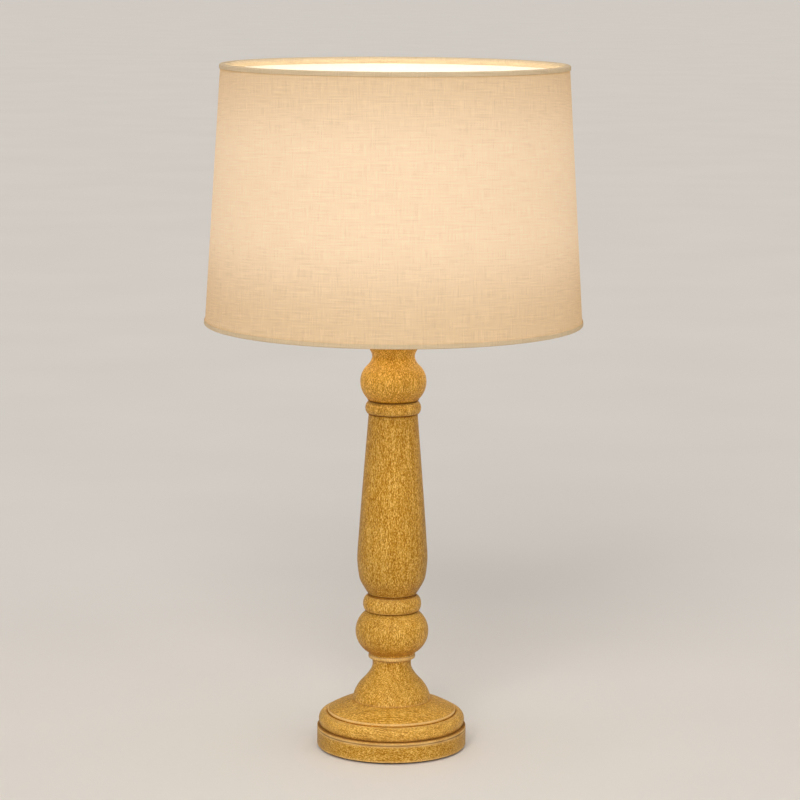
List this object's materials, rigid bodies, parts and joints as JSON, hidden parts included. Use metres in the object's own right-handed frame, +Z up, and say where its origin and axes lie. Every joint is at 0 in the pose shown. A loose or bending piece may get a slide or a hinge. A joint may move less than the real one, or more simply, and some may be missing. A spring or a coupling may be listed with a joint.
{
  "type": "table lamp with shade",
  "caption": "Table lamp: a turned wooden column on a round moulded base, with a screw-in bulb, a push-bar switch and a tapered drum shade of fabric.",
  "frame": {"origin": "middle of the underside of the base, on the surface that the lamp stands on", "axes": "+Z up along the column's axis; +X to the right and -Y towards the viewer; the cord outlet is at the back, at +Y"},
  "size_m": [0.35, 0.35, 0.64],
  "materials": {
    "oak": "honey oak, satin lacquer, with fine dark pores along the grain",
    "felt": "dark pressed felt",
    "cast_iron": "rough cast, oiled",
    "steel": "zinc plated, semi-bright",
    "brass": "polished brass with light wear",
    "black_plastic": "black moulded thermoplastic, satin",
    "ceramic": "unglazed steatite",
    "rubber": "matt black rubber",
    "linen": "plain-weave linen blend, matt, lit from inside",
    "liner": "translucent white styrene film, lit from inside",
    "white_wire": "white epoxy-coated steel wire",
    "bulb_glass": "frosted warm-white glass, lit",
    "filament": "phosphor-coated LED stick, lit",
    "cap_metal": "bright nickel-plated cap with a rolled thread"
  },
  "bodies": {
    "stand": {"base_felt": "felt", "base_plinth": "oak", "base_moulding": "oak", "column_foot": "oak", "lower_ball": "oak", "lower_ring": "oak", "column_vase": "oak", "upper_ring": "oak", "upper_ball": "oak", "ballast_disc": "cast_iron", "lower_washer": "steel", "lower_nut": "steel", "threaded_tube": "steel", "top_plate": "brass", "upper_nut": "brass", "cord_bushing": "rubber", "holder_cap": "black_plastic", "cap_screw": "steel", "switch_block": "ceramic", "threaded_skirt": "black_plastic", "contact_carrier": "ceramic", "screw_shell": "brass", "centre_contact": "brass", "terminal_screw_live": "brass", "terminal_screw_neutral": "brass"},
    "push_bar": {"push_bar": "brass"},
    "bulb_tip": {"bulb_contact": "cap_metal", "bulb_insulator": "black_plastic"},
    "bulb": {"bulb_cap": "cap_metal", "bulb_envelope": "bulb_glass", "bulb_stem": "bulb_glass", "bulb_filament_1": "filament", "bulb_filament_2": "filament", "bulb_filament_3": "filament", "bulb_filament_4": "filament"},
    "shade": {"shade_cover": "linen", "shade_liner": "liner", "shade_bottom_wire": "white_wire", "shade_top_wire": "white_wire", "shade_bottom_hem": "linen", "shade_top_hem": "linen", "shade_fitter": "white_wire", "shade_arm_1": "white_wire", "shade_arm_2": "white_wire", "shade_arm_3": "white_wire"},
    "shade_ring": {"shade_ring": "black_plastic"}
  },
  "joints": [
    {"name": "switch_push", "type": "slide", "parent": "stand", "child": "push_bar", "axis": [1, 0, 0], "range_m": [0, 0.005]},
    {"name": "bulb_lift", "type": "slide", "parent": "stand", "child": "bulb_tip", "axis": [0, 0, 1], "range_m": [0, 0.0181]},
    {"name": "bulb_turn", "type": "hinge", "parent": "bulb_tip", "child": "bulb", "pos_m": [0, 0, 0.44], "axis": [0, 0, 1], "range_deg": [0, 1800]},
    {"name": "shade_turn", "type": "hinge", "parent": "stand", "child": "shade", "pos_m": [0, 0, 0.427], "axis": [0, 0, 1], "continuous": true},
    {"name": "shade_ring_lift", "type": "slide", "parent": "stand", "child": "shade_ring", "axis": [0, 0, 1], "range_m": [0, 0.008]}
  ],
  "couplings": [
    {"joint": "bulb_turn", "follows": "bulb_lift", "rad_per_m": 1735.7}
  ]
}
